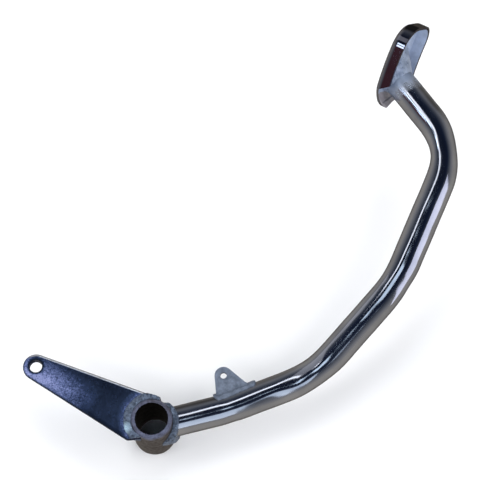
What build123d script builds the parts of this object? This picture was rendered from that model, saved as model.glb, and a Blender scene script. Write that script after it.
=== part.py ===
from build123d import *
import os
from math import cos, radians, sin, sqrt

# Motorcycle rear brake pedal: a chromed steel weldment that swings on a pivot shaft.
# Frame: origin at the centre of the pivot bore. +Z runs along the bore to the outboard
# side, +X points forward and +Y points up when the pedal is on the motorcycle.

# ---- driving dimensions, millimetres and degrees ----

# Pivot sleeve
bore_diameter = 20.0
sleeve_diameter = 26.0
sleeve_length = 37.0
bore_chamfer = 0.3
rim_chamfer = 0.8

# Brake rod arm: a flat tapered plate near the outboard end of the sleeve
arm_thickness = 5.0
arm_setback = 2.5
arm_reach = 81.0
arm_heading = 95.2
arm_tip_radius = 8.2
rod_hole_diameter = 8.0
arm_front_offset = 15.2
arm_heel_point = (-18.6, 7.4)
arm_edge_rounding = 2.1

# Pedal tube: straight runs as length, side-view heading and outboard climb
tube_diameter = 19.0
tube_wall = 1.8
tube_runs = [
    (48.5, -45.0, 0.0),
    (57.5, -38.7, 3.0),
    (77.5, -12.9, 16.0),
    (91.0, 7.0, 13.0),
    (63.8, 68.6, 2.0),
]
bend_radii = [120.0, 80.0, 96.0, 41.0]

# Foot pad: sheet pressed into a shallow tray, open downwards, where the tube enters
pad_length = 54.5
pad_width = 38.0
pad_depth = 9.2
pad_sheet = 2.0
tongue_start = 19.0
tongue_ramp = 35.0
tongue_lip = 0.8
pad_toe_out = 30.0
pad_pitch = 6.0
pad_cant = 6.0
pad_ahead_of_tube = 6.5
pad_inboard_of_tube = 3.0
crown_radius = 230.0
front_roll_length = 5.0
front_roll_radius = 20.0
front_roll_reach = 32.0
rear_roll_length = 13.0
rear_roll_radius = 18.0
rear_roll_reach = 62.0
pad_front_corner = 14.0
pad_heel_corner = 5.0
pad_inner_corner = 9.0
pad_rear_slant = 5.2
pad_edge_rounding = 4.2
rib_count = 5
rib_pitch = 7.0
rib_height = 0.9
rib_width = 2.6
rib_margin = 8.0

# Tab for the brake-light switch spring, standing on the upper side of the tube
tab_thickness = 3.0
tab_face_height = 7.5
tab_heading = -42.0
tab_hole_diameter = 4.1
tab_hole_place = (51.0, 16.8)
tab_top_radius = 5.6
tab_back_foot = (42.6, 4.0)
tab_front_knee = (62.6, 9.0)
tab_front_foot = (67.6, 4.0)

# Weld beads
sleeve_bead = 3.4
arm_face_bead = (5.0, 1.6)
arm_back_bead = (3.4, 3.0)
tab_bead = 1.4
pad_bead_width = 5.0
pad_bead_height = 9.0
bead_bulge = 0.62

# ---- derived places ----

bore_radius = bore_diameter / 2
sleeve_radius = sleeve_diameter / 2
half_length = sleeve_length / 2
tube_radius = tube_diameter / 2
arm_face = half_length - arm_setback
arm_back = arm_face - arm_thickness
arm_tip = Vector(arm_reach * cos(radians(arm_heading)), arm_reach * sin(radians(arm_heading)))
mid_wall = (bore_radius + sleeve_radius) / 2
far_side = 100.0
tall_side = 40.0


def direction(heading, climb):
    """Unit vector from a side-view heading and a climb towards the outboard side."""
    level = cos(radians(climb))
    return Vector(level * cos(radians(heading)), level * sin(radians(heading)), sin(radians(climb)))


def route_corners():
    """Corners of the tube's centre line, from the pivot axis to the underside of the tread."""
    points = [Vector(0, 0, 0)]
    for length, heading, climb in tube_runs:
        points.append(points[-1] + direction(heading, climb) * length)
    return points


def pad_axes():
    """Outboard and upward unit vectors of the pad: toe-out, then pitch, then cant."""
    level_forward = Vector(cos(radians(pad_toe_out)), 0, sin(radians(pad_toe_out)))
    level_outboard = Vector(-sin(radians(pad_toe_out)), 0, cos(radians(pad_toe_out)))
    pitched_up = Vector(0, 1, 0) * cos(radians(pad_pitch)) - level_forward * sin(radians(pad_pitch))
    outboard = level_outboard * cos(radians(pad_cant)) + pitched_up * sin(radians(pad_cant))
    up = pitched_up * cos(radians(pad_cant)) - level_outboard * sin(radians(pad_cant))
    return outboard, up


corners = route_corners()

# Pad frame: local x towards its outboard edge, local y towards its front, local z up.
pad_outboard, pad_up = pad_axes()
pad_forward = pad_up.cross(pad_outboard)
pad_shift = pad_forward * pad_ahead_of_tube - pad_outboard * pad_inboard_of_tube
pad_plane = Plane(origin=corners[-1] + pad_shift + pad_up * pad_sheet, x_dir=pad_outboard, z_dir=pad_up)

# Tab frame: local x along the first stretch of the tube, local y away from it, local z outboard.
tab_foot = Vector(0, 0, tab_face_height - tab_thickness)
tab_plane = Plane(origin=tab_foot, x_dir=direction(tab_heading, 0), z_dir=(0, 0, 1))


def round_bar(radius):
    """Round bar of the given radius along the tube's whole centre line."""
    path = FilletPolyline(*corners, radius=bend_radii)
    start = Plane(origin=path @ 0, z_dir=path % 0)
    return sweep(start * Circle(radius), path=path)


def sleeve_rod(radius):
    """Solid rod on the pivot axis, as long as the sleeve."""
    return Cylinder(radius, sleeve_length)


def outer_tangent(centre_a, radius_a, centre_b, radius_b, side):
    """Touch points of the common tangent of two circles, left (+1) or right (-1) of a to b."""
    across = centre_b - centre_a
    span = across.length
    along = across / span
    left = Vector(-along.Y, along.X)
    lean = (radius_a - radius_b) / span
    normal = along * lean + left * (side * sqrt(1 - lean * lean))
    return centre_a + normal * radius_a, centre_b + normal * radius_b


def make_sleeve():
    """Thick sleeve with both rims and both bore mouths chamfered."""
    sleeve = sleeve_rod(sleeve_radius) - sleeve_rod(bore_radius)
    rings = sleeve.edges().filter_by(GeomType.CIRCLE)
    sleeve = chamfer(rings.filter_by(lambda ring: ring.radius > mid_wall), rim_chamfer)
    rings = sleeve.edges().filter_by(GeomType.CIRCLE)
    return chamfer(rings.filter_by(lambda ring: ring.radius < mid_wall), bore_chamfer)


def arm_outline():
    """Tapered outline: round tip, front edge running past the sleeve, heel behind it."""
    origin = Vector(0, 0)
    front_tip, front_root = outer_tangent(arm_tip, arm_tip_radius, origin, arm_front_offset, 1)
    rear_tip, heel = outer_tangent(arm_tip, arm_tip_radius, Vector(*arm_heel_point), 0.0, -1)
    top = arm_tip + arm_tip.normalized() * arm_tip_radius
    with BuildSketch() as outline:
        with BuildLine():
            ThreePointArc(rear_tip, top, front_tip)
            Line(front_tip, front_root)
            Line(front_root, origin)
            Line(origin, (-sleeve_radius, 0))
            Line((-sleeve_radius, 0), heel)
            Line(heel, rear_tip)
        make_face()
    return outline.sketch


def make_arm():
    """Rod arm plate with rounded face edges, coped to the sleeve, with the rod pin hole."""
    plate = extrude(arm_outline(), arm_thickness)
    face_edges = plate.edges().filter_by(Plane.XY)
    long_edges = face_edges.filter_by(lambda edge: edge.length > arm_reach / 2)
    plate = Pos(0, 0, arm_back) * fillet(long_edges, arm_edge_rounding)
    hole = Pos(arm_tip.X, arm_tip.Y, 0) * Cylinder(rod_hole_diameter / 2, far_side)
    return plate - hole - sleeve_rod(sleeve_radius)


def tread_profile(drop):
    """Side profile under the tread surface lowered by the drop: a crown with both ends rolled."""
    half = pad_length / 2
    floor = -tall_side

    def roll(length, radius, reach, side):
        """Knee, middle and end of a rolled end; side is +1 at the front and -1 at the rear."""
        knee = (half - length) / crown_radius
        centre_y = (crown_radius - radius) * sin(knee)
        centre_z = (crown_radius - radius) * cos(knee) - crown_radius
        angles = (knee, (knee + reach) / 2, reach)
        low = radius - drop
        return [(side * (centre_y + low * sin(a)), centre_z + low * cos(a)) for a in angles]

    front_reach = radians(front_roll_reach)
    rear_reach = radians(rear_roll_reach)
    front_knee, front_mid, front_end = roll(front_roll_length, front_roll_radius, front_reach, 1)
    rear_knee, rear_mid, rear_end = roll(rear_roll_length, rear_roll_radius, rear_reach, -1)
    with BuildSketch(Plane.YZ) as profile:
        with BuildLine():
            ThreePointArc(rear_end, rear_mid, rear_knee)
            ThreePointArc(rear_knee, (0, -drop), front_knee)
            ThreePointArc(front_knee, front_mid, front_end)
            Line(front_end, (front_end[0], floor))
            Line((front_end[0], floor), (rear_end[0], floor))
            Line((rear_end[0], floor), rear_end)
        make_face()
    return profile.sketch


def below_tread(drop):
    """Block reaching down from the tread surface lowered by the drop, wider than the pad."""
    return extrude(tread_profile(drop), pad_width, both=True)


def pad_column(inset):
    """Upright column on the pad's plan outline drawn in by the inset: its rear edge slants."""
    side, front = pad_width / 2, pad_length / 2
    outline = Polygon((side, -front), (side, front), (-side, front), (-side, pad_rear_slant - front),
                      align=None)
    if inset:
        outline = offset(outline, -inset, kind=Kind.INTERSECTION)
    outline = fillet(outline.vertices().sort_by(Axis.Y)[0], pad_heel_corner - inset)
    outline = fillet(outline.vertices().sort_by(Axis.X)[:2].sort_by(Axis.Y)[0],
                     pad_inner_corner - inset)
    outline = fillet(outline.vertices().group_by(Axis.Y)[-1], pad_front_corner - inset)
    return extrude(outline, tall_side, both=True)


def below_rim():
    """Everything under the rim: walls of one depth below the crown, then a bare tongue behind."""
    drum = Pos(0, 0, -crown_radius) * Rot(0, 90, 0) * Cylinder(crown_radius - pad_depth, far_side)
    block = Box(far_side, far_side, far_side)
    behind = Pos(0, -tongue_start, 0) * Rot(tongue_ramp, 0, 0) * Pos(0, -far_side / 2, 0) * block
    return drum + (below_tread(pad_sheet + tongue_lip) & behind)


def tread_rib(station):
    """Low rounded rib across the tread at one distance ahead of the pad's middle."""
    crest = sqrt(crown_radius ** 2 - station ** 2) - crown_radius
    bar = extrude(SlotOverall(pad_width - 2 * rib_margin, rib_width), pad_sheet / 2 + rib_height)
    bar = fillet(bar.edges().group_by(Axis.Z)[-1], rib_height / 2)
    return Pos(0, station, crest - pad_sheet / 2) * bar


def make_pad():
    """Foot pad: outer pressing less its cavity, trimmed to its rim, with the grip ribs."""
    outer = pad_column(0) & below_tread(0)
    crest_edges = outer.edges().filter_by(lambda edge: edge.bounding_box().min.Z > -2 * pad_depth)
    outer = fillet(crest_edges, pad_edge_rounding)
    shell = outer - (pad_column(pad_sheet) & below_tread(pad_sheet)) - below_rim()
    for index in range(rib_count):
        shell += tread_rib((index - (rib_count - 1) / 2) * rib_pitch)
    return pad_plane * shell


def make_tube():
    """Bent tube, coped to the sleeve and trimmed to the underside of the tread."""
    tube = round_bar(tube_radius) - round_bar(tube_radius - tube_wall)
    above_tread = pad_column(pad_sheet) - below_tread(pad_sheet)
    return tube - sleeve_rod(sleeve_radius) - pad_plane * above_tread


def make_tab():
    """Spring tab: round eye on a widening foot, coped to the tube."""
    eye = Vector(*tab_hole_place)
    back_touch, back_foot = outer_tangent(eye, tab_top_radius, Vector(*tab_back_foot), 0.0, -1)
    front_touch, front_knee = outer_tangent(eye, tab_top_radius, Vector(*tab_front_knee), 0.0, 1)
    with BuildSketch() as outline:
        with BuildLine():
            ThreePointArc(back_touch, eye + Vector(0, tab_top_radius), front_touch)
            Line(front_touch, front_knee)
            Line(front_knee, tab_front_foot)
            Line(tab_front_foot, back_foot)
            Line(back_foot, back_touch)
        make_face()
    plate = extrude(outline.sketch, tab_thickness)
    plate -= Pos(eye.X, eye.Y, 0) * Cylinder(tab_hole_diameter / 2, far_side)
    return tab_plane * plate - round_bar(tube_radius)


def make_sleeve_weld():
    """Bead round the saddle where the tube meets the sleeve."""
    bead = round_bar(tube_radius + sleeve_bead) & sleeve_rod(sleeve_radius + sleeve_bead)
    return bead - round_bar(tube_radius) - sleeve_rod(sleeve_radius)


def arm_weld(size, plane_height, side):
    """Bead round the sleeve on one face of the arm; side is +1 outboard and -1 inboard."""
    width, height = size
    rim = sleeve_radius + width
    bulge = (sleeve_radius + bead_bulge * width, plane_height + side * bead_bulge * height)
    with BuildSketch(Plane.XZ) as section:
        with BuildLine():
            ThreePointArc((rim, plane_height), bulge, (sleeve_radius, plane_height + side * height))
            Line((sleeve_radius, plane_height + side * height), (sleeve_radius, plane_height))
            Line((sleeve_radius, plane_height), (rim, plane_height))
        make_face()
    ring = revolve(section.sketch, Axis.Z)
    return ring & Pos(0, 0, plane_height) * extrude(arm_outline(), 2 * height, both=True)


def make_tab_weld():
    """Bead round the foot of the spring tab, with round ends."""
    length = tab_front_foot[0] - tab_back_foot[0] + 2 * tab_bead
    middle = (tab_front_foot[0] + tab_back_foot[0]) / 2
    band = extrude(SlotOverall(length, tab_thickness + 2 * tab_bead), -far_side)
    band = Pos(middle, 0, tab_thickness / 2) * Rot(90, 0, 0) * band
    bead = round_bar(tube_radius + tab_bead) & tab_plane * band
    return bead - round_bar(tube_radius) - make_tab()


def make_pad_weld(pad):
    """Fillet that flares from the side of the tube to the underside of the tread."""
    overrun = tube_radius
    flare = pad_bead_width * (pad_bead_height + overrun) / pad_bead_height
    cone = Cone(tube_radius, tube_radius + flare, pad_bead_height + overrun)
    along = Plane(origin=corners[-1], z_dir=corners[-1] - corners[-2])
    fillet_metal = along * Pos(0, 0, (overrun - pad_bead_height) / 2) * cone
    cavity = pad_column(pad_sheet) & below_tread(pad_sheet)
    return (fillet_metal & pad_plane * cavity) - round_bar(tube_radius) - pad


foot_pad = make_pad()
sleeve_weld = make_sleeve_weld()
parts = {
    "pivot_sleeve": make_sleeve(),
    "brake_rod_arm": make_arm(),
    "pedal_tube": make_tube(),
    "foot_pad": foot_pad,
    "switch_spring_tab": make_tab(),
    "weld_tube_to_sleeve": sleeve_weld,
    "weld_arm_outboard": arm_weld(arm_face_bead, arm_face, 1),
    "weld_arm_inboard": arm_weld(arm_back_bead, arm_back, -1) - sleeve_weld,
    "weld_tab_to_tube": make_tab_weld(),
    "weld_pad_to_tube": make_pad_weld(foot_pad),
}

os.makedirs("parts", exist_ok=True)
for node, solid in parts.items():
    export_step(solid, f"parts/{node}.step")
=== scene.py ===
import math

import bmesh
import bpy
from mathutils import Matrix, Vector, noise


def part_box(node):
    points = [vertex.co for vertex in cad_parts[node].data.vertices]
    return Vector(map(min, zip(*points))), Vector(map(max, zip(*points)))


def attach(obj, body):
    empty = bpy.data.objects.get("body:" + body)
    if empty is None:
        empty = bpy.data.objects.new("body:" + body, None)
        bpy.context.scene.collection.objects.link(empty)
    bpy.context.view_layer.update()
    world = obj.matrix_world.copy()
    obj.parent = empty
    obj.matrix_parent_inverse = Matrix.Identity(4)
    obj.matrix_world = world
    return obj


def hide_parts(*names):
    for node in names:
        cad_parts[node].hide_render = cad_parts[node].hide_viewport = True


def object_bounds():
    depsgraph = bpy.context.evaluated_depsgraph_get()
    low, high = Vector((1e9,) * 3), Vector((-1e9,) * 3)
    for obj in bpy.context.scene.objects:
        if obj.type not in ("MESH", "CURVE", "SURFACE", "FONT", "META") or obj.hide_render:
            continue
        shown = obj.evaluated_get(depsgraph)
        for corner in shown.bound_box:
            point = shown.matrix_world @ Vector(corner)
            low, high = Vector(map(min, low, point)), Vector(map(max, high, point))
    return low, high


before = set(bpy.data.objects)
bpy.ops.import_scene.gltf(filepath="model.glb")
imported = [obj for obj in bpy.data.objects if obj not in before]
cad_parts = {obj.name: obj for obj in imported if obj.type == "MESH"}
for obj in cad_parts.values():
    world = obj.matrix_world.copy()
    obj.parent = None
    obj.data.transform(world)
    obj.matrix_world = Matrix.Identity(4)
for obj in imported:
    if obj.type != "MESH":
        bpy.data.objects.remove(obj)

# Motorcycle rear brake pedal. Metres and degrees, in the frame of the CAD: origin at the pivot
# bore's centre, +Z along the bore to outboard, +X forward, +Y up on the motorcycle.

cad_low, cad_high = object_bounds()

# ---- dimensions repeated from the CAD ----
SLEEVE_RADIUS = 0.013
SLEEVE_BORE = 0.010
TUBE_RADIUS = 0.0095
TUBE_WALL = 0.0018
TUBE_RUNS = [
    (0.0485, -45.0, 0.0),
    (0.0575, -38.7, 3.0),
    (0.0775, -12.9, 16.0),
    (0.0910, 7.0, 13.0),
    (0.0638, 68.6, 2.0),
]
BEND_RADII = [0.120, 0.080, 0.096, 0.041]
PAD_TOE_OUT = 30.0
PAD_PITCH = 6.0
PAD_CANT = 6.0
PAD_AHEAD_OF_TUBE = 0.0065
PAD_INBOARD_OF_TUBE = 0.0030
PAD_SHEET = 0.0020
PAD_DEPTH = 0.0092
CROWN_RADIUS = 0.230
TONGUE_START = 0.0190

# Rod arm: the hole's mouth, the sleeve's centre at the outboard face, the direction from the
# rear edge to the front one, and the height of the plate's mid-plane
ROD_HOLE = (-0.0073, 0.0807, 0.0160)
ARM_ROOT = (0.0, 0.0, 0.0160)
ARM_FORWARD = (0.9959, 0.0906, 0.0)
ARM_MIDDLE = 0.0135
ARM_WELD_BLOB = (-0.0129, 0.0111, 0.0165)

# ---- where the finishes and the painted light change, as distances at which each change begins and ends ----
# From the weld end of the tube
TUBE_HEAT_REACH = (0.0140, 0.0225)
# From the rod hole, from the sleeve's axis, and ahead of that axis
HOLE_FROST_REACH = (0.012, 0.046)
PIN_WEAR_REACH = (0.0045, 0.0060)
ARM_HEAT_REACH = (0.0178, 0.0230)
FROST_FRONT_TO_REAR = (0.007, -0.005)
# Where the painted grey sheen on the arm's front edge begins and is complete
EDGE_SHEEN_FRONT = (0.002, 0.005)
# From the arm's mid-plane
ROUNDING_TO_FACE = (0.0012, 0.0024)
# Where the painted grey sheen lies on the rounding of the arm's edge
EDGE_SHEEN_INNER = (0.00248, 0.00240)
EDGE_SHEEN_OUTER = (0.0011, 0.0018)
# From the middle of the blob at the end of the arm's weld, over which its painted highlight
# fades
BLOB_GLINT_REACH = (0.0004, 0.0048)
# Along the sleeve; and ahead of its axis, where painted shade browns the outboard face towards
# the front
SLEEVE_BROWN_TO_BLUE = (0.0135, 0.0180)
SLEEVE_SHADE_AHEAD = (0.003, 0.013)

# ---- unevenness of the small pieces, and the limits between their finishes ----
EDGE_SOFTENING = 0.6
RIM_SWELL = (0.00007, 0.0035)
RIM_NICKS = (0.00004, 0.0012)
TAB_SWELL = (0.00004, 0.0020)
BEAD_LUMPS = (0.00038, 0.0032)
BEAD_RIPPLE = 0.00007
RIPPLE_WANDER = 2.1
RIPPLE_WANDER_SIZE = 0.004
BORE_MARGIN = 0.0004
CAVITY_MIDDLE = 0.6

# ---- unevenness of the tube ----
TUBE_SEGMENTS = 128
STATION_STEP = 0.0015
BEND_FLATTENING = [0.02, 0.05, 0.04, 0.12]
BEND_WIDENING = 0.45
# Flats left by the bending press: distance along the tube, angle round it from the outboard
# side in radians, depth and half length
PRESS_FLATS = [
    (0.077, 0.70, 0.0005, 0.010),
    (0.095, 0.03, 0.0006, 0.009),
    (0.184, 0.20, 0.0004, 0.020),
    (0.268, 0.10, 0.0006, 0.012),
]
FLAT_SPREAD = 0.5
SWELL_SIZE = 0.013
STRAIGHT_UNEVENNESS = 0.00012
BEND_UNEVENNESS = 0.00020
# The tube's ends: where its plain rings stop short of the sleeve and the pad, how far outside
# the middle of the sleeve's wall it is coped, and at what share of the pad's sheet it ends
PLAIN_FROM_SLEEVE = 0.004
PLAIN_FROM_PAD = 0.007
COPE_PAST_MID_WALL = 0.0007
END_IN_SHEET = 0.8

# ---- camera ----
CAMERA_BACK = Vector((-0.2406, -0.2034, 0.9491))
CAMERA_UP = Vector((0.8189, 0.4824, 0.3110))
CAMERA_DISTANCE = 3.0238
CAMERA_AIM = Vector((0.1251, 0.0115, 0.0275))
CAMERA_LENS = 362.9
CAMERA_SENSOR = 36.0

# ---- studio ----
LIGHT_DISTANCE = 4.0
FLOOR_HALF_SIZE = 4.0
FLOOR_GAP = 0.0005
# World colour by height, from straight below (0) to straight above (1)
WORLD_STOPS = [
    (0.0, (0.42, 0.39, 0.35)),
    (0.45, (0.36, 0.34, 0.31)),
    (0.62, (0.24, 0.24, 0.25)),
    (0.84, (0.06, 0.07, 0.09)),
    (0.93, (0.010, 0.016, 0.036)),
    (1.0, (0.008, 0.012, 0.026)),
]
# Two sides of the room: direction, and the cosines at which each begins and is complete
DARK_SIDE = (0.936, 0.341, -0.087)
DARK_SIDE_EDGE = (0.77, 0.93)
DARK_SIDE_STRENGTH = 0.08
RED_SIDE = (-0.685, 0.393, 0.613)
RED_SIDE_EDGE = (0.972, 0.992)
RED_SIDE_COLOUR = (0.085, 0.035, 0.045, 1.0)


# ---------------------------------------------------------------- helpers

class Graph:
    """A node tree, with short calls to add and join nodes."""

    def __init__(self, tree, output_kind):
        self.tree = tree
        self.tree.nodes.clear()
        self.output = self.add(output_kind)

    def add(self, kind, inputs=None, **settings):
        node = self.tree.nodes.new(kind)
        for key, value in settings.items():
            setattr(node, key, value)
        for key, value in (inputs or {}).items():
            if isinstance(value, bpy.types.NodeSocket):
                self.tree.links.new(value, node.inputs[key])
            else:
                node.inputs[key].default_value = value
        return node

    def show(self, surface):
        self.tree.links.new(surface, self.output.inputs["Surface"])

    def spread(self, value, low, high, to_low, to_high):
        """The value carried from one range to another, and held at its ends."""
        inputs = {"Value": value, "From Min": low, "From Max": high,
                  "To Min": to_low, "To Max": to_high}
        return self.add("ShaderNodeMapRange", inputs).outputs["Result"]

    def maths(self, operation, a, b):
        return self.add("ShaderNodeMath", {0: a, 1: b}, operation=operation).outputs[0]

    def times(self, a, b):
        return self.maths("MULTIPLY", a, b)

    def vector_maths(self, operation, a, b):
        node = self.add("ShaderNodeVectorMath", {0: a, 1: b}, operation=operation)
        return node.outputs["Value"]

    def axis(self, vector, letter):
        return self.add("ShaderNodeSeparateXYZ", {0: vector}).outputs[letter]

    def mix(self, share, first, second):
        node = self.add("ShaderNodeMix", {0: share, 6: first, 7: second}, data_type="RGBA")
        return node.outputs[2]

    def ramp(self, value, stops):
        node = self.add("ShaderNodeValToRGB", {"Fac": value})
        elements = node.color_ramp.elements
        while len(elements) < len(stops):
            elements.new(0.5)
        for element, (position, colour) in zip(elements, stops):
            element.position = position
            element.color = (*colour, 1.0)
        return node.outputs["Color"]


class Finish(Graph):
    """A material's node tree, with its noises, relief and shader."""

    def __init__(self, name):
        self.material = bpy.data.materials.new(name)
        self.material.use_nodes = True
        super().__init__(self.material.node_tree, "ShaderNodeOutputMaterial")

    def place(self):
        """Object coordinates, which are the frame's metres."""
        return self.add("ShaderNodeTexCoord").outputs["Object"]

    def noise(self, scale, detail, rough=0.55):
        """Noise from 0 to 1: features per metre, octaves, and the weight of the finer ones."""
        inputs = {"Vector": self.place(), "Scale": scale, "Detail": detail, "Roughness": rough}
        return self.add("ShaderNodeTexNoise", inputs).outputs["Fac"]

    def gritty_roughness(self, low, high):
        return self.spread(self.noise(400.0, 5.0, 0.6), 0.3, 0.7, low, high)

    def bump(self, height, distance, strength):
        inputs = {"Height": height, "Distance": distance, "Strength": strength}
        return self.add("ShaderNodeBump", inputs).outputs["Normal"]

    def shade(self, **inputs):
        self.show(self.add("ShaderNodeBsdfPrincipled", inputs).outputs["BSDF"])
        return self.material


def add_object(name, mesh, materials, replaced):
    """A piece of the pedal: riding on the one body, with its finishes, and the CAD nodes it
    replaces hidden.
    """
    piece = bpy.data.objects.new(name, mesh)
    bpy.context.scene.collection.objects.link(piece)
    mesh.materials.clear()
    for material in materials:
        mesh.materials.append(material)
    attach(piece, "root")
    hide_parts(*replaced)


def worn_mesh(node, voxel, rounds, push):
    """A node's shape remeshed evenly, its edges softened, and pushed along its normals by
    push(point) in metres."""
    source = bpy.data.objects.new(node + "_source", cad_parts[node].data.copy())
    bpy.context.scene.collection.objects.link(source)
    remesh = source.modifiers.new("remesh", "REMESH")
    remesh.mode = "VOXEL"
    remesh.voxel_size = voxel
    soften = source.modifiers.new("soften", "LAPLACIANSMOOTH")
    soften.iterations = rounds
    soften.lambda_factor = EDGE_SOFTENING
    soften.use_volume_preserve = True
    evaluated = source.evaluated_get(bpy.context.evaluated_depsgraph_get())
    mesh = bpy.data.meshes.new_from_object(evaluated)
    bpy.data.objects.remove(source)
    normals = [vertex.normal.copy() for vertex in mesh.vertices]
    for vertex, normal in zip(mesh.vertices, normals):
        vertex.co += normal * push(vertex.co)
    mesh.shade_smooth()
    return mesh


def swell(point, height, size):
    """Smooth noise up to the height either way, with features of the given size in metres."""
    return height * noise.noise(point / size)


def paint(node, material):
    """Gives a CAD node that stays a new finish in its own material slots."""
    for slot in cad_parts[node].material_slots:
        slot.material = material


# ---------------------------------------------------------------- materials

def polished_chrome(name, dark, light, haziest, weld_end=None):
    """Chrome plate, hazy here and there, and frosted blue-grey by the heat of a weld end."""
    graph = Finish(name)
    colour = graph.ramp(graph.noise(38.0, 5.0), [(0.30, dark), (0.70, light)])
    haze = graph.noise(70.0, 2.0, 0.5)
    rough = graph.spread(haze, 0.35, 0.75, haziest / 2, haziest)
    relief = graph.bump(graph.noise(55.0, 0.5), 0.00020, 0.35)
    metal = 1.0
    if weld_end is not None:
        frost_rough, frost_metal = 0.28, 0.5
        end_away = graph.vector_maths("DISTANCE", graph.place(), weld_end)
        wander = graph.spread(graph.noise(220.0, 5.0, 0.65), 0.3, 0.7, -0.002, 0.002)
        reach = graph.maths("ADD", end_away, wander)
        heat = graph.spread(reach, *TUBE_HEAT_REACH, 1.0, 0.0)
        frosted = graph.ramp(haze, [(0.30, (0.20, 0.25, 0.36)), (0.70, (0.44, 0.52, 0.66))])
        colour = graph.mix(heat, colour, frosted)
        rough = graph.maths("ADD", rough, graph.times(heat, frost_rough))
        metal = graph.spread(heat, 0.0, 1.0, 1.0, frost_metal)
    return graph.shade(**{"Base Color": colour, "Metallic": metal, "Roughness": rough,
                          "Specular Tint": (0.25, 0.24, 0.22, 1.0), "Normal": relief})


def arm_frost(graph, place, forward, off_middle):
    """How frosted the arm is: most by the rod hole and the rear edge, a little round the sleeve,
    not on the plate's edges nor where the pin has worn it."""
    hole_away = graph.vector_maths("DISTANCE", place, ROD_HOLE)
    near_hole = graph.spread(hole_away, *HOLE_FROST_REACH, 1.0, 0.13)
    rearward = graph.spread(forward, *FROST_FRONT_TO_REAR, 0.25, 1.0)
    frost = graph.times(near_hole, rearward)
    root_away = graph.vector_maths("DISTANCE", place, ARM_ROOT)
    heat = graph.spread(root_away, *ARM_HEAT_REACH, 0.45, 0.0)
    frost = graph.maths("MAXIMUM", frost, heat)
    on_face = graph.spread(off_middle, *ROUNDING_TO_FACE, 0.05, 1.0)
    blotches = graph.spread(graph.noise(190.0, 6.0, 0.75), 0.35, 0.65, 0.65, 1.15)
    speckle = graph.spread(graph.noise(1100.0, 3.0, 0.7), 0.35, 0.65, 0.5, 1.35)
    pin_wear = graph.spread(hole_away, *PIN_WEAR_REACH, 0.10, 1.0)
    for share in (on_face, blotches, speckle, pin_wear):
        frost = graph.times(frost, share)
    return frost


def arm_chrome():
    """Thin plating over an unpolished plate: dark and glossy, frosted in places, with a painted
    grey sheen along the rounding of its front edge."""
    graph = Finish("arm_chrome")
    place = graph.place()
    forward = graph.vector_maths("DOT_PRODUCT", place, ARM_FORWARD)
    height = graph.axis(place, "Z")
    off_middle = graph.maths("ABSOLUTE", graph.maths("SUBTRACT", height, ARM_MIDDLE), 0.0)
    frost = arm_frost(graph, place, forward, off_middle)
    colour = graph.ramp(frost, [(0.0, (0.024, 0.036, 0.070)), (0.10, (0.045, 0.070, 0.135)),
                                (0.25, (0.06, 0.095, 0.21)), (0.60, (0.17, 0.22, 0.45)),
                                (1.0, (0.33, 0.37, 0.66))])
    metal = graph.spread(frost, 0.0, 0.8, 1.0, 0.35)
    # Painted sheen: the rounding of the front edge is painted grey and made less metallic
    rounding = graph.times(graph.spread(off_middle, *EDGE_SHEEN_INNER, 0.0, 1.0),
                           graph.spread(off_middle, *EDGE_SHEEN_OUTER, 0.0, 1.0))
    edge_sheen = graph.times(graph.spread(forward, *EDGE_SHEEN_FRONT, 0.0, 1.0), rounding)
    colour = graph.mix(edge_sheen, colour, (0.38, 0.38, 0.40, 1.0))
    metal = graph.maths("SUBTRACT", metal, graph.times(edge_sheen, 0.45))
    rough = graph.spread(graph.noise(240.0, 6.0, 0.7), 0.3, 0.75, 0.16, 0.34)
    relief = graph.bump(graph.noise(520.0, 6.0, 0.65), 0.00018, 0.4)
    return graph.shade(**{"Base Color": colour, "Metallic": metal, "Roughness": rough,
                          "Specular Tint": (0.45, 0.45, 0.50, 1.0), "Normal": relief})


def dull_steel(name, dark, light, rough_low, rough_high, grit, metal, mottle=160.0, blob=None):
    """Unpolished plating, mottled and gritty, with a painted highlight round the middle of a
    blob if given.
    """
    graph = Finish(name)
    colour = graph.ramp(graph.noise(mottle, 7.0, 0.7), [(0.30, dark), (0.72, light)])
    if blob is not None:
        # Painted highlight: pale blue-white colour round the middle of the blob
        blob_away = graph.vector_maths("DISTANCE", graph.place(), blob)
        bright = graph.spread(blob_away, *BLOB_GLINT_REACH, 0.85, 0.0)
        colour = graph.mix(bright, colour, (0.55, 0.76, 0.92, 1.0))
    rough = graph.gritty_roughness(rough_low, rough_high)
    relief = graph.bump(graph.noise(grit, 6.0, 0.65), 0.0003, 0.55)
    return graph.shade(**{"Base Color": colour, "Metallic": metal, "Roughness": rough,
                          "Normal": relief})


def sleeve_finish():
    """Unpolished plating: blue-grey on the outboard face, brown lower down, and browned towards
    the front by painted shade.
    """
    graph = Finish("sleeve_steel")
    place = graph.place()
    wander = graph.spread(graph.noise(130.0, 4.0, 0.6), 0.3, 0.7, -0.003, 0.003)
    height = graph.maths("ADD", graph.axis(place, "Z"), wander)
    # Painted shade: the blue face turns browner and darker towards the front
    face = graph.times(graph.spread(height, *SLEEVE_BROWN_TO_BLUE, 0.0, 1.0),
                       graph.spread(graph.axis(place, "X"), *SLEEVE_SHADE_AHEAD, 1.0, 0.45))
    tone = graph.noise(330.0, 7.0, 0.75)
    brown = graph.ramp(tone, [(0.30, (0.018, 0.014, 0.013)), (0.70, (0.085, 0.068, 0.064))])
    blue = graph.ramp(tone, [(0.30, (0.05, 0.055, 0.085)), (0.70, (0.21, 0.23, 0.34))])
    colour = graph.mix(face, brown, blue)
    rough = graph.gritty_roughness(0.32, 0.55)
    relief = graph.bump(graph.noise(420.0, 6.0, 0.65), 0.0003, 0.6)
    return graph.shade(**{"Base Color": colour, "Metallic": 0.5, "Roughness": rough,
                          "Normal": relief})


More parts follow.
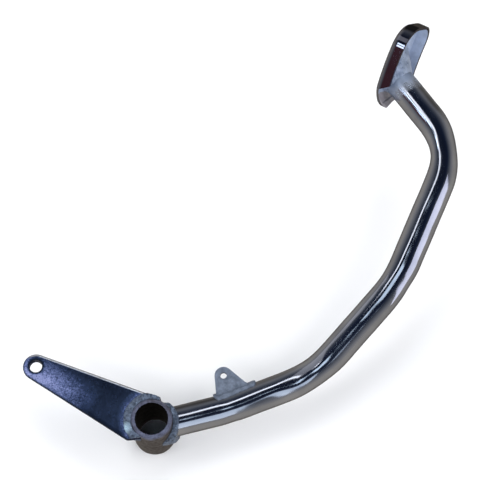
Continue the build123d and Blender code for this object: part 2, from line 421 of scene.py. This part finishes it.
def bore_shade_finish():
    """Inside of the sleeve, painted near black and almost without gloss as painted shade for the
    dark bore.
    """
    graph = Finish("bore_painted_shade")
    tone = graph.noise(220.0, 6.0, 0.7)
    colour = graph.ramp(tone, [(0.35, (0.0008, 0.0008, 0.0008)),
                               (0.75, (0.0040, 0.0032, 0.0028))])
    rough = graph.gritty_roughness(0.5, 0.7)
    relief = graph.bump(graph.noise(300.0, 6.0, 0.65), 0.0003, 0.5)
    return graph.shade(**{"Base Color": colour, "Roughness": rough, "Normal": relief,
                          "Specular IOR Level": 0.005})


def floor_finish():
    """Plain pale matt floor."""
    graph = Finish("pale_floor")
    tone = graph.noise(6.0, 3.0)
    colour = graph.ramp(tone, [(0.3, (0.90, 0.90, 0.90)), (0.7, (0.93, 0.93, 0.93))])
    return graph.shade(**{"Base Color": colour, "Roughness": 0.9, "Specular IOR Level": 0.0})


# ---------------------------------------------------------------- tube

def heading_vector(heading, climb):
    """Unit vector from a side-view heading and a climb towards the outboard side."""
    level = math.cos(math.radians(climb))
    return Vector((level * math.cos(math.radians(heading)),
                   level * math.sin(math.radians(heading)),
                   math.sin(math.radians(climb))))


def tube_stations(step):
    """Stations along the bent centre line: point, tangent, direction towards the bend's centre,
    flattening there, and how far into a bend it is, from 0 to 1."""
    directions = [heading_vector(heading, climb) for _, heading, climb in TUBE_RUNS]
    corners = [Vector((0.0, 0.0, 0.0))]
    for (length, _, _), way in zip(TUBE_RUNS, directions):
        corners.append(corners[-1] + way * length)
    stations = []
    start = corners[0]
    for index, way in enumerate(directions):
        last = index == len(directions) - 1
        if last:
            end = corners[-1]
        else:
            onward = directions[index + 1]
            turn = way.angle(onward)
            setback = BEND_RADII[index] * math.tan(turn / 2)
            end = corners[index + 1] - way * setback
        count = max(2, round((end - start).length / step))
        for k in range(count):
            stations.append((start.lerp(end, k / count), way, Vector((0, 0, 1)), 0.0, 0.0))
        if last:
            stations.append((end, way, Vector((0, 0, 1)), 0.0, 0.0))
            break
        axis = way.cross(onward).normalized()
        inward = axis.cross(way)
        centre = end + inward * BEND_RADII[index]
        count = max(3, round(BEND_RADII[index] * turn / step))
        for k in range(count):
            spin = Matrix.Rotation(turn * k / count, 3, axis)
            point = centre - spin @ (inward * BEND_RADII[index])
            bent = math.sin(math.pi * k / count) ** 2
            share = bent * BEND_FLATTENING[index]
            stations.append((point, spin @ way, spin @ inward, share, bent))
        start = corners[index + 1] + onward * setback
    return stations


def press_depth(travelled, angle):
    """How far the press flats push the skin in at one place."""
    depth = 0.0
    for place, turn, deepest, half_length in PRESS_FLATS:
        along = (travelled - place) / half_length
        off_turn = math.remainder(angle - turn, 2 * math.pi) / FLAT_SPREAD
        depth += deepest * math.exp(-along ** 2 - off_turn ** 2)
    return depth


def ring_points(station, across, radius, travelled):
    """Ring of the tube's skin round one station, flattened and uneven."""
    point, tangent, pull, share, bent = station
    up = tangent.cross(across).normalized()
    unevenness = STRAIGHT_UNEVENNESS + BEND_UNEVENNESS * bent
    ring = []
    for k in range(TUBE_SEGMENTS):
        angle = 2 * math.pi * k / TUBE_SEGMENTS
        offset = (across * math.cos(angle) + up * math.sin(angle)) * radius
        along_pull = pull * offset.dot(pull)
        offset = offset - along_pull * share + (offset - along_pull) * share * BEND_WIDENING
        rise = swell(point + offset, unevenness, SWELL_SIZE) - press_depth(travelled, angle)
        offset += offset.normalized() * rise
        ring.append(point + offset)
    return ring


def pad_axes():
    """Outboard, forward and upward unit vectors of the pad, as in the CAD."""
    toe, pitch, cant = (math.radians(angle) for angle in (PAD_TOE_OUT, PAD_PITCH, PAD_CANT))
    level_forward = Vector((math.cos(toe), 0, math.sin(toe)))
    level_outboard = Vector((-math.sin(toe), 0, math.cos(toe)))
    pitched_up = Vector((0, 1, 0)) * math.cos(pitch) - level_forward * math.sin(pitch)
    outboard = level_outboard * math.cos(cant) + pitched_up * math.sin(cant)
    upward = pitched_up * math.cos(cant) - level_outboard * math.sin(cant)
    return outboard, upward.cross(outboard), upward


def pad_origin(tube_end):
    """Middle of the tread surface."""
    outboard, forward, upward = pad_axes()
    return (tube_end + forward * PAD_AHEAD_OF_TUBE - outboard * PAD_INBOARD_OF_TUBE
            + upward * PAD_SHEET)


def cope_to_sleeve(points, way):
    """Slides a ring of points along the tube to a cylinder inside the sleeve's wall."""
    cope = (SLEEVE_RADIUS + SLEEVE_BORE) / 2 + COPE_PAST_MID_WALL
    moved = []
    for point in points:
        flat = Vector((point.x, point.y, 0))
        along = flat.dot(way)
        side = (flat - way * along).length
        moved.append(point + way * (math.sqrt(cope ** 2 - side ** 2) - along))
    return moved


def trim_to_tread(points, way, origin):
    """Slides a ring of points along the tube into the pad's sheet, just above its underside."""
    _, forward, upward = pad_axes()
    moved = []
    for point in points:
        for _ in range(3):
            ahead = (point - origin).dot(forward)
            target = -PAD_SHEET * END_IN_SHEET - ahead * ahead / (2 * CROWN_RADIUS)
            point = point + way * ((target - (point - origin).dot(upward)) / way.dot(upward))
        moved.append(point)
    return moved


def between(first, second, shares):
    """Rings part of the way from one ring to another."""
    return [[a.lerp(b, share) for a, b in zip(first, second)] for share in shares]


def tube_skin(route, radius):
    """Rings of one skin of the tube, coped to the sleeve and trimmed to the pad's tread."""
    tube_end, last_way = route[-1][:2]
    rows = []
    across = Vector((0, 0, 1))
    travelled = 0.0
    previous = route[0][0]
    for station in route:
        point, tangent = station[:2]
        travelled += (point - previous).length
        previous = point
        across = (across - tangent * across.dot(tangent)).normalized()
        clear_of_sleeve = point.length > SLEEVE_RADIUS + PLAIN_FROM_SLEEVE
        clear_of_pad = (tube_end - point).length > PLAIN_FROM_PAD
        if clear_of_sleeve and clear_of_pad:
            rows.append(ring_points(station, across, radius, travelled))
    start = cope_to_sleeve(rows[0], route[0][1])
    finish = trim_to_tread(rows[-1], last_way, pad_origin(tube_end))
    return (between(start, rows[0], (0, 0.25, 0.5, 0.75)) + rows
            + between(rows[-1], finish, (0.25, 0.5, 0.75, 1)))


def make_tube(route, material):
    """Bent tube with its bends a little flattened: an outer and an inner skin, joined at the
    ends."""
    skins = [tube_skin(route, radius) for radius in (TUBE_RADIUS, TUBE_RADIUS - TUBE_WALL)]
    mesh = bmesh.new()
    outer, inner = ([[mesh.verts.new(p) for p in row] for row in rows] for rows in skins)
    for rows in (outer, inner):
        for a, b in zip(rows, rows[1:]):
            for k in range(TUBE_SEGMENTS):
                j = (k + 1) % TUBE_SEGMENTS
                mesh.faces.new((a[k], a[j], b[j], b[k]))
    for end in (0, -1):
        for k in range(TUBE_SEGMENTS):
            j = (k + 1) % TUBE_SEGMENTS
            mesh.faces.new((outer[end][k], outer[end][j], inner[end][j], inner[end][k]))
    bmesh.ops.recalc_face_normals(mesh, faces=mesh.faces)
    data = bpy.data.meshes.new("bent_tube")
    mesh.to_mesh(data)
    mesh.free()
    data.shade_smooth()
    add_object("bent_tube", data, [material], ["pedal_tube"])


# ---------------------------------------------------------------- sleeve, tab, beads and pad

def make_sleeve(outside, inside):
    """Sleeve with softened, slightly uneven rims, its bore painted near black as painted shade.
    """
    def push(point):
        return swell(point, *RIM_SWELL) + swell(point, *RIM_NICKS)

    mesh = worn_mesh("pivot_sleeve", 0.00035, 3, push)
    add_object("worn_sleeve", mesh, [outside, inside], ["pivot_sleeve"])
    bore_limit = SLEEVE_BORE + BORE_MARGIN
    for face in mesh.polygons:
        face.material_index = 1 if face.center.xy.length < bore_limit else 0


def make_tab(finish):
    """Spring tab with its sheared edges dressed."""
    def push(point):
        return swell(point, *TAB_SWELL)

    mesh = worn_mesh("switch_spring_tab", 0.00022, 4, push)
    add_object("dressed_tab", mesh, [finish], ["switch_spring_tab"])


def make_bead(name, node, finish, middle, axis, pitch, lift, rounds=6):
    """Weld bead with ripples that follow one another round the axis through the middle."""
    axis = axis.normalized()
    start = axis.orthogonal().normalized()
    side = axis.cross(start)

    def push(point):
        arm = point - middle
        radius = (arm - axis * arm.dot(axis)).length
        angle = math.atan2(arm.dot(side), arm.dot(start))
        phase = angle * radius / pitch * 2 * math.pi
        phase += swell(point, RIPPLE_WANDER, RIPPLE_WANDER_SIZE)
        return lift + BEAD_RIPPLE * math.sin(phase) + swell(point, *BEAD_LUMPS)

    mesh = worn_mesh(node, 0.00030, rounds, push)
    add_object(name, mesh, [finish], [node])


def make_pad(outside, inside, tongue, tube_end):
    """Foot pad: mirror bright outside, dull inside and browner on its bare tongue."""
    _, forward, upward = pad_axes()
    origin = pad_origin(tube_end)
    cavity = origin - upward * (PAD_DEPTH * CAVITY_MIDDLE)
    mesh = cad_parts["foot_pad"].data.copy()
    add_object("pressed_pad", mesh, [outside, inside, tongue], ["foot_pad"])
    for face in mesh.polygons:
        if face.normal.dot(cavity - face.center) <= 0:
            face.material_index = 0
        elif (face.center - origin).dot(forward) > -TONGUE_START:
            face.material_index = 1
        else:
            face.material_index = 2


# ---------------------------------------------------------------- stage

def make_floor():
    """Floor just under the pedal, left out of the chrome's reflections."""
    size = FLOOR_HALF_SIZE
    low = min(cad_low.z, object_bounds()[0].z) - FLOOR_GAP
    mesh = bpy.data.meshes.new("floor")
    mesh.from_pydata([(-size, -size, low), (size, -size, low), (size, size, low),
                      (-size, size, low)], [], [(0, 1, 2, 3)])
    floor = bpy.data.objects.new("floor", mesh)
    bpy.context.scene.collection.objects.link(floor)
    mesh.materials.append(floor_finish())
    floor.visible_glossy = False


def add_light(name, place, spread, radiance, colour, lean=0.0, glossy=True,
              distance=LIGHT_DISTANCE):
    """Soft rectangular light facing the pedal. Place is azimuth and elevation, spread is width
    and height, all in degrees as seen from the pedal; radiance is its surface brightness."""
    middle = (cad_low + cad_high) / 2
    azimuth, elevation = (math.radians(angle) for angle in place)
    way = Vector((math.cos(elevation) * math.cos(azimuth),
                  math.cos(elevation) * math.sin(azimuth), math.sin(elevation)))
    width, height = (2 * distance * math.tan(math.radians(angle) / 2) for angle in spread)
    light = bpy.data.lights.new(name, "AREA")
    light.shape = "RECTANGLE"
    light.size = width
    light.size_y = height
    light.color = colour
    light.energy = radiance * math.pi * width * height
    lamp = bpy.data.objects.new(name, light)
    bpy.context.scene.collection.objects.link(lamp)
    side = Vector((-math.sin(azimuth), math.cos(azimuth), 0.0))
    upward = way.cross(side)
    spin = Matrix.Rotation(math.radians(lean), 3, way)
    axes = Matrix((spin @ side, spin @ upward, way)).transposed()
    lamp.matrix_world = Matrix.Translation(middle + way * distance) @ axes.to_4x4()
    lamp.visible_camera = False
    lamp.visible_glossy = glossy


def make_lights():
    """Lamps and windows that the chrome shows, and fills that only the dull surfaces show."""
    add_light("near_strip", (90, 78.8), (27.7, 8.8), 1.7, (0.92, 0.95, 1.0), distance=0.325)
    add_light("side_panel", (82, 46), (22, 55), 0.28, (0.95, 0.95, 1.0))
    add_light("lamp_upper", (133, 55), (7, 5), 3.8, (0.70, 0.82, 1.0))
    add_light("lamp_lower", (144, 47), (6, 5), 3.8, (0.70, 0.82, 1.0))
    add_light("edge_lamp", (20, 42), (6, 36), 6.0, (0.80, 0.90, 1.0))
    add_light("lens_bar", (190.5, 74.1), (17, 8), 1.3, (0.72, 0.86, 1.0), lean=-10.9)
    add_light("rear_window", (219, 30), (18, 38), 0.85, (0.74, 0.85, 1.0))
    add_light("side_window", (271, 18), (24, 50), 1.1, (0.82, 0.83, 1.0))
    for azimuth in (0, 90, 180, 270):
        add_light("fill_%d" % azimuth, (azimuth + 25, 42), (50, 40), 2.3, (1.0, 1.0, 1.0),
                  glossy=False)


def make_world():
    """The room that the chrome reflects: pale below, dark above, with a dark and a red side."""
    world = bpy.data.worlds.new("studio")
    bpy.context.scene.world = world
    world.use_nodes = True
    graph = Graph(world.node_tree, "ShaderNodeOutputWorld")
    way = graph.add("ShaderNodeTexCoord").outputs["Generated"]
    colour = graph.ramp(graph.spread(graph.axis(way, "Z"), -1.0, 1.0, 0.0, 1.0), WORLD_STOPS)
    towards_red = graph.vector_maths("DOT_PRODUCT", way, RED_SIDE)
    colour = graph.mix(graph.spread(towards_red, *RED_SIDE_EDGE, 0.0, 1.0), colour,
                       RED_SIDE_COLOUR)
    towards_dark = graph.vector_maths("DOT_PRODUCT", way, DARK_SIDE)
    strength = graph.spread(towards_dark, *DARK_SIDE_EDGE, 1.0, DARK_SIDE_STRENGTH)
    background = graph.add("ShaderNodeBackground", {"Color": colour, "Strength": strength})
    graph.show(background.outputs["Background"])


def make_camera():
    """Camera at the photograph's viewing angle."""
    back = CAMERA_BACK.normalized()
    right = CAMERA_UP.cross(back).normalized()
    up = back.cross(right)
    data = bpy.data.cameras.new("camera")
    data.lens = CAMERA_LENS
    data.sensor_width = CAMERA_SENSOR
    data.clip_start = 0.05
    data.clip_end = 50.0
    camera = bpy.data.objects.new("camera", data)
    bpy.context.scene.collection.objects.link(camera)
    axes = Matrix((right, up, back)).transposed()
    place = Matrix.Translation(CAMERA_AIM + back * CAMERA_DISTANCE)
    camera.matrix_world = place @ axes.to_4x4()
    bpy.context.scene.camera = camera


# ---------------------------------------------------------------- the pedal

route = tube_stations(STATION_STEP)
first_way = route[0][1]
tube_end, last_way = route[-1][:2]
pivot, pivot_axis = Vector((0, 0, 0)), Vector((0, 0, 1))
tab_low, tab_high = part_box("weld_tab_to_tube")

tube_chrome = polished_chrome("tube_chrome", (0.46, 0.48, 0.54), (0.62, 0.64, 0.70), 0.15,
                              tube_end)
pad_chrome = polished_chrome("pad_chrome", (0.27, 0.27, 0.31), (0.38, 0.38, 0.43), 0.07)
tab_finish = dull_steel("tab_steel", (0.075, 0.095, 0.13), (0.22, 0.26, 0.34),
                        0.35, 0.5, 500.0, 0.35, mottle=260.0)
weld_finish = dull_steel("weld_metal", (0.008, 0.012, 0.022), (0.22, 0.28, 0.39),
                         0.22, 0.45, 260.0, 0.45, mottle=420.0, blob=ARM_WELD_BLOB)
fillet_finish = dull_steel("fillet_metal", (0.16, 0.21, 0.31), (0.50, 0.58, 0.74),
                           0.22, 0.45, 260.0, 0.4)
pad_inside = dull_steel("pad_inside", (0.34, 0.40, 0.52), (0.52, 0.60, 0.76),
                        0.4, 0.6, 300.0, 0.2)
tongue_finish = dull_steel("tongue_inside", (0.27, 0.25, 0.27), (0.42, 0.39, 0.42),
                           0.4, 0.6, 300.0, 0.2)

make_tube(route, tube_chrome)
make_sleeve(sleeve_finish(), bore_shade_finish())
make_tab(tab_finish)
make_pad(pad_chrome, pad_inside, tongue_finish, tube_end)
make_bead("bead_tube_to_sleeve", "weld_tube_to_sleeve", weld_finish,
          first_way * SLEEVE_RADIUS, first_way, 0.0021, 0.00005)
make_bead("bead_arm_outboard", "weld_arm_outboard", weld_finish,
          pivot, pivot_axis, 0.0022, 0.00010)
make_bead("bead_arm_inboard", "weld_arm_inboard", weld_finish,
          pivot, pivot_axis, 0.0022, 0.00005)
make_bead("bead_tab", "weld_tab_to_tube", tab_finish,
          (tab_low + tab_high) / 2, pivot_axis, 0.0019, 0.00005, rounds=14)
make_bead("bead_pad", "weld_pad_to_tube", fillet_finish,
          tube_end, last_way, 0.0024, 0.00010, rounds=10)
paint("brake_rod_arm", arm_chrome())

make_floor()
make_world()
make_lights()
make_camera()
bpy.context.scene.view_settings.view_transform = "Standard"
